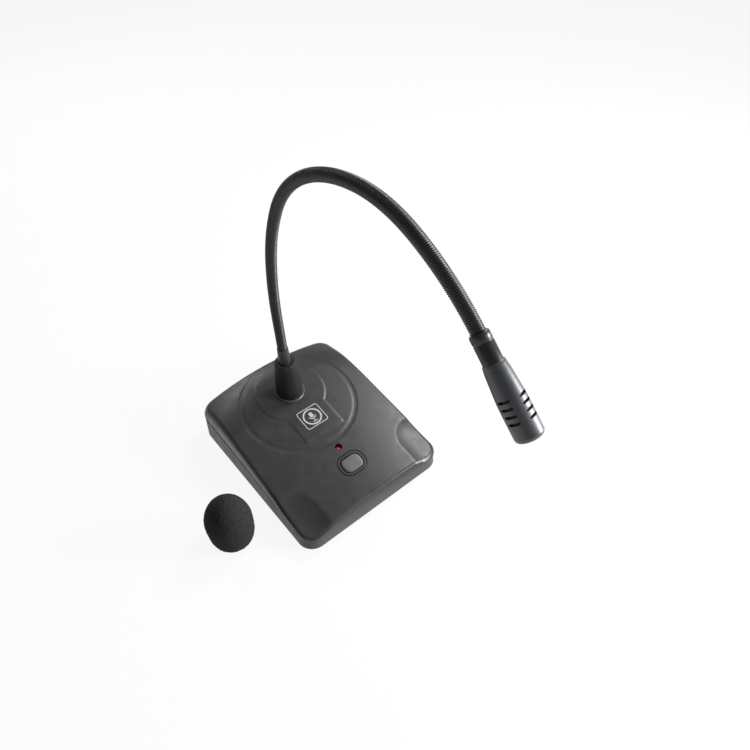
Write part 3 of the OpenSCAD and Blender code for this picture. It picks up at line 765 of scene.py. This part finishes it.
add_piece(boot, boot_black, "base", "boot", "neck_boot")
lower = lathe("lower_ferrule_sleeve", [
    (BORE_R, BOOT_FOOT - STUD_LEN), (STUD_R, BOOT_FOOT - STUD_LEN), (STUD_R, BOOT_FOOT - TOUCH),
    (FERRULE_R, BOOT_FOOT - TOUCH), (FERRULE_R, BOOT_TOP_Z + FERRULE_SHOULDER),
    (FERRULE_TIP_R, FERRULE_TOP - TIP_BEVEL_H), (FERRULE_TIP_R - TIP_BEVEL, FERRULE_TOP),
    (BORE_R, FERRULE_TOP),
], at_point(0, NECK_Y, 0))
add_piece(lower, ferrule_black, "base", "ferrule", "lower_ferrule")

# Neck: one tube across each bend, from the middle of a stretch to the middle of the next
BLEND_REACH = 13.0
NECK_TUCK = 2.0
bend_at = [sum(NECK_LENS[:i]) for i in range(len(NECK_LENS))]
neck_ends = [-NECK_RISE - NECK_TUCK]
neck_ends += [bend_at[i] + NECK_LENS[i] / 2 for i in range(len(NECK_LENS) - 1)]
neck_ends.append(sum(NECK_LENS) + NECK_TUCK)
bodies = ["base"] + [f"neck_{i + 2}" for i in range(len(NECK_LENS))]
for i, centre in enumerate(bend_at):
    tube = neck_tube(f"neck_tube_{i + 1}", neck_ends[i], neck_ends[i + 1])
    dress(tube, neck_black)
    y0, z0, _ = on_neck(centre - BLEND_REACH)
    y1, z1, _ = on_neck(centre + BLEND_REACH)
    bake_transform(tube)
    covered = [f"neck_stretch_{i + 1}"]
    if i == len(bend_at) - 1:
        covered.append(f"neck_stretch_{i + 2}")
    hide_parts(*covered)

# Upper ferrule and head. Their sides are given as (inset or outset, height)
HEAD_OVERLAP = 2.0
HEAD_Z = HEAD_FERRULE_LEN - HEAD_OVERLAP
HEAD_TIP = HEAD_Z + HEAD_LEN
HEAD_BODY = bodies[-1]
HEAD_WALL = 1.2
HEAD_ROOT = ((-0.4, 0.0), (0.0, 0.4), (0.1, 1.4), (0.5, 4.0))
HEAD_SWELL = ((0.55, 11.0), (0.12, 17.0), (0.0, 22.0))
HEAD_ROUND = 2.4
HEAD_LIP = 2.6
HEAD_SEAT = 4.0
HEAD_BORE_FROM = 18.0
TIP_ARC = (5, 85, 9)
GRILLE_SINK = 1.2
NECK_GRIP = 0.5
UPPER_SIDE = ((0.5, 0.0), (0.1, 0.5), (0.0, 1.2), (0.0, 4.0), (0.2, 4.2), (0.2, 4.8), (0.0, 5.0))
SLOT_COLUMNS = 4
SLOT_STEPS = 5
SLOT_ROUND = SLOT_H * 0.45
SLOT_DEPTH = 3.0
upper_side = [(FERRULE_R - inset, height) for inset, height in UPPER_SIDE]
upper_grip = [(FERRULE_R, HEAD_FERRULE_LEN), (NECK_R - NECK_GRIP, HEAD_FERRULE_LEN)]
upper = lathe("upper_ferrule_sleeve", [(NECK_R - NECK_GRIP, 0)] + upper_side + upper_grip, head_place())
add_piece(upper, ferrule_black, HEAD_BODY, "ferrule", "upper_ferrule")
head_side = [(FERRULE_R + TOUCH, HEAD_Z)]
head_side += [(HEAD_ROOT_R + out, HEAD_Z + height) for out, height in HEAD_ROOT]
head_side += [(HEAD_R - inset, HEAD_Z + height) for inset, height in HEAD_SWELL]
head_side.append((HEAD_R, HEAD_TIP - HEAD_LIP))
head_tip = arc_points((HEAD_R - HEAD_ROUND, HEAD_TIP - HEAD_ROUND), HEAD_ROUND, *TIP_ARC)
head_inside = [
    (HEAD_R - HEAD_LIP, HEAD_TIP), (HEAD_R - HEAD_LIP, HEAD_TIP - GRILLE_SINK),
    (HEAD_R - HEAD_WALL, HEAD_TIP - HEAD_LIP), (HEAD_R - HEAD_WALL, HEAD_Z + HEAD_BORE_FROM),
    (FERRULE_R + TOUCH, HEAD_Z + HEAD_SEAT),
]
head = lathe("head_shell", head_side + head_tip + head_inside, head_place(), sides=FINE_SIDES)
slot_from = HEAD_TIP - SLOT_END - SLOT_PITCH * (SLOT_COUNT - 1)
slot_outline = rounded_outline(SLOT_H, SLOT_W, SLOT_ROUND, SLOT_STEPS)
slots = []
for column in range(SLOT_COLUMNS):
    turn = Matrix.Rotation(SLOT_TURN + column * 2 * math.pi / SLOT_COLUMNS, 4, "Z")
    for i in range(SLOT_COUNT):
        facing_out = at_point(HEAD_R, 0, slot_from + SLOT_PITCH * i) @ Matrix.Rotation(math.pi / 2, 4, "Y")
        slots.append(prism("slot", slot_outline, -SLOT_DEPTH, SLOT_DEPTH, head_place() @ turn @ facing_out))
cut(head, joined("slot_cutter", slots))
add_piece(head, head_coat, HEAD_BODY, "head", "head_body")
liner_low = slot_from - SLOT_PITCH
liner_high = HEAD_TIP - SLOT_END + SLOT_H / 2
LINER_IN_R = LINER_R - LINER_T
liner = lathe("slot_liner", [
    (LINER_IN_R, liner_low), (LINER_R, liner_low), (LINER_R, liner_high), (LINER_IN_R, liner_high),
], head_place())
add_piece(liner, black_plastic, HEAD_BODY, "black_plastic")


# Foam windscreen: a pitted open-cell ball with its bore, its side as shares of radius and height
FOAM_SIDE = ((0.72, 0.0), (0.82, 0.03), (0.9, 0.1), (0.95, 0.18), (0.98, 0.26))
FOAM_STEPS = 18
FOAM_PINCH = 0.4
# End of the bore, as (share of its radius, rise over its length)
BORE_END = ((0.0, 3.0), (0.6, 2.0), (1.0, 0.0))
# Pits, as (number per millimetre, depth)
FOAM_PITS = ((0.9, 0.22), (2.1, 0.16))


def windscreen():
    outside = [(FOAM_R * across, FOAM_H * up) for across, up in FOAM_SIDE]
    dome_h = FOAM_H * FOAM_DOME
    arc = arc_points((0, 0), 1, 0, 90, FOAM_STEPS)[:-1]
    dome = [(FOAM_R * across, FOAM_H - dome_h + dome_h * up) for across, up in arc]
    dome.append((0, FOAM_H))
    bore_r = HEAD_R - FOAM_PINCH
    inside = [(bore_r * across, FOAM_BORE + rise) for across, rise in BORE_END]
    inside.append((bore_r, 0.0))
    made = lathe("foam_ball", inside + outside + dome, at_point(*FOAM_AT, 0), sides=FINE_SIDES)
    smooth = made.modifiers.new("fine", "SUBSURF")
    smooth.levels = 1
    smooth.render_levels = 1
    apply_modifiers(made)
    for v in made.data.vertices:
        spot = v.co * MM_PER_METRE
        pits = sum(noise.noise(spot * rate) * depth for rate, depth in FOAM_PITS)
        v.co += v.normal * pits * MM
        v.co.z = max(v.co.z, 0.0)
    made.data.shade_smooth()
    return made


foam = windscreen()
add_piece(foam, foam_black, "windscreen", "foam", "foam_windscreen")


# A plain sign printed on the tab, in place of lettering: a microphone in a ring, in a frame
SIGN_Y = 3.5
SIGN_W = 19.0
SIGN_D = 17.5
SIGN_R = 2.0
SIGN_LINE = 0.6
RING_OUT_R = 7.4
RING_IN_R = 6.2
PRINT_T = 0.06
RING_ARC = (0, 354, 60)
MIC_R = 1.5
MIC_TOP = 2.6
MIC_LOW = 0.6
MIC_STEPS = 12
CRADLE_OUT_R = 3.0
CRADLE_IN_R = 2.4
CRADLE_STEPS = 20
SIGN_STEM_X = 0.3
SIGN_STEM_TOP = -2.3
SIGN_STEM_LOW = -4.2
SIGN_FOOT_X = 2.0
SIGN_FOOT_LOW = -4.8


def bar_outline(half, low, high):
    return [(-half, low), (half, low), (half, high), (-half, high)]


def sign_print():
    place = on_ridge(SIGN_Y) @ at_point(0, 0, PAD_RISE - PRINT_T)
    outer = rounded_outline(SIGN_W, SIGN_D, SIGN_R)
    inner = rounded_outline(SIGN_W - 2 * SIGN_LINE, SIGN_D - 2 * SIGN_LINE, SIGN_R - SIGN_LINE)
    parts = [frame_prism("ink", outer, inner, 0.0, 2 * PRINT_T, place)]
    ring_outside = arc_points((0, 0), RING_OUT_R, *RING_ARC)
    ring_inside = arc_points((0, 0), RING_IN_R, *RING_ARC)
    parts.append(frame_prism("ink", ring_outside, ring_inside, 0.0, 2 * PRINT_T, place))
    capsule = arc_points((0, MIC_TOP), MIC_R, 0, 180, MIC_STEPS)
    capsule += arc_points((0, MIC_LOW), MIC_R, 180, 360, MIC_STEPS)
    cradle = arc_points((0, MIC_LOW), CRADLE_OUT_R, 180, 360, CRADLE_STEPS)
    cradle += arc_points((0, MIC_LOW), CRADLE_IN_R, 360, 180, CRADLE_STEPS)
    stem = bar_outline(SIGN_STEM_X, SIGN_STEM_LOW, SIGN_STEM_TOP)
    foot = bar_outline(SIGN_FOOT_X, SIGN_FOOT_LOW, SIGN_STEM_LOW)
    parts += [prism("ink", part, 0.0, 2 * PRINT_T, place) for part in (capsule, cradle, stem, foot)]
    return joined("sign_print", parts)


add_piece(sign_print(), print_white, "base", "button")

# Finishes of the solids that stay as they are
CAD_FINISH = {
    "boot_collar": collar_grey, "cover_screws": steel, "rubber_feet": rubber_black, "ballast_plate": steel,
    "ballast_screws": steel, "circuit_board": board_green, "board_screws": steel, "return_spring": steel,
    "switch_body": black_plastic, "neck_nut": steel, "mic_capsule": capsule_metal,
    "capsule_seal": rubber_black, "head_grille": black_plastic, "output_socket": black_plastic,
    "socket_nut": steel,
}
for node, made in CAD_FINISH.items():
    dress(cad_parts[node], made)


# Floor and light
FLOOR_HALF = 6.0
FLOOR_WHITE = (0.9, 0.9, 0.9)
FLOOR_ROUGH = 0.9
FLOOR_GLOW_SHARE = 0.9
WORLD_LIGHT = 0.24
WHITE = (1, 1, 1, 1)
# Softboxes, as (name, place, what it faces, width in metres, watts)
SOFTBOXES = (
    ("key_right", (0.58, 0.04, 0.64), (0.03, -0.03, 0.03), 0.28, 4.0),
    ("front_strip", (0.65, -0.62, 0.3), (0, -0.16, 0.2), 0.35, 12.0),
    ("rim_back", (0.1, 0.9, 0.6), (0, 0, 0.1), 0.5, 2.5),
)


def stage_floor():
    corners = [(sx * FLOOR_HALF, sy * FLOOR_HALF, 0) for sx, sy in ((-1, -1), (1, -1), (1, 1), (-1, 1))]
    floor = new_object("floor", corners, [[0, 1, 2, 3]])
    made = material("floor_white", FLOOR_WHITE, FLOOR_ROUGH)
    tree = made.node_tree
    path = tree.nodes.new("ShaderNodeLightPath")
    seen = tree.nodes.new("ShaderNodeMath")
    seen.operation = "MAXIMUM"
    seen_more = tree.nodes.new("ShaderNodeMath")
    seen_more.operation = "MAXIMUM"
    glow = tree.nodes.new("ShaderNodeEmission")
    glow.inputs["Color"].default_value = WHITE
    glow.inputs["Strength"].default_value = 1.0
    blend = tree.nodes.new("ShaderNodeMixShader")
    share = tree.nodes.new("ShaderNodeMath")
    share.operation = "MULTIPLY"
    share.inputs[1].default_value = FLOOR_GLOW_SHARE
    tree.links.new(path.outputs["Is Camera Ray"], seen.inputs[0])
    tree.links.new(path.outputs["Is Glossy Ray"], seen.inputs[1])
    tree.links.new(seen.outputs[0], seen_more.inputs[0])
    tree.links.new(path.outputs["Is Transmission Ray"], seen_more.inputs[1])
    tree.links.new(seen_more.outputs[0], share.inputs[0])
    tree.links.new(share.outputs[0], blend.inputs["Fac"])
    tree.links.new(tree.nodes["Principled BSDF"].outputs["BSDF"], blend.inputs[1])
    tree.links.new(glow.outputs["Emission"], blend.inputs[2])
    tree.links.new(blend.outputs["Shader"], tree.nodes["Material Output"].inputs["Surface"])
    dress(floor, made)


def studio_world():
    world = bpy.data.worlds.new("studio")
    bpy.context.scene.world = world
    world.use_nodes = True
    tree = world.node_tree
    soft = tree.nodes["Background"]
    soft.inputs["Color"].default_value = WHITE
    soft.inputs["Strength"].default_value = WORLD_LIGHT
    white = tree.nodes.new("ShaderNodeBackground")
    white.inputs["Color"].default_value = WHITE
    white.inputs["Strength"].default_value = 1.0
    path = tree.nodes.new("ShaderNodeLightPath")
    blend = tree.nodes.new("ShaderNodeMixShader")
    tree.links.new(path.outputs["Is Camera Ray"], blend.inputs["Fac"])
    tree.links.new(soft.outputs["Background"], blend.inputs[1])
    tree.links.new(white.outputs["Background"], blend.inputs[2])
    tree.links.new(blend.outputs["Shader"], tree.nodes["World Output"].inputs["Surface"])


def softbox(name, at, target, size, energy):
    light = bpy.data.lights.new(name, "AREA")
    light.shape = "DISK"
    light.size = size
    light.energy = energy
    made = bpy.data.objects.new(name, light)
    bpy.context.scene.collection.objects.link(made)
    made.location = at
    made.rotation_euler = (Vector(target) - Vector(at)).to_track_quat("-Z", "Y").to_euler()


stage_floor()
studio_world()
for box in SOFTBOXES:
    softbox(*box)

# Camera at the photograph's viewing angle
FOCAL_PX = 620.2
PHOTO_SIDE = 750
SENSOR = 36.0
CLIP_START = 0.01
CAMERA_AT = (-0.1533, -0.2683, 0.3975)
YAW = math.radians(38.48)
PITCH = math.radians(46.17)
ROLL = math.radians(-1.65)


def photo_camera():
    data = bpy.data.cameras.new("photo_camera")
    data.sensor_width = SENSOR
    data.lens = SENSOR * FOCAL_PX / PHOTO_SIDE
    data.clip_start = CLIP_START
    forward = Vector((math.sin(YAW) * math.cos(PITCH), math.cos(YAW) * math.cos(PITCH), -math.sin(PITCH)))
    level = Vector((math.cos(YAW), -math.sin(YAW), 0))
    upright = level.cross(forward)
    right = level * math.cos(ROLL) + upright * math.sin(ROLL)
    up = upright * math.cos(ROLL) - level * math.sin(ROLL)
    turn = Matrix((right, up, -forward)).transposed().to_4x4()
    made = bpy.data.objects.new("photo_camera", data)
    bpy.context.scene.collection.objects.link(made)
    made.matrix_world = Matrix.Translation(Vector(CAMERA_AT)) @ turn
    bpy.context.scene.camera = made


photo_camera()
bpy.context.scene.view_settings.view_transform = "Standard"
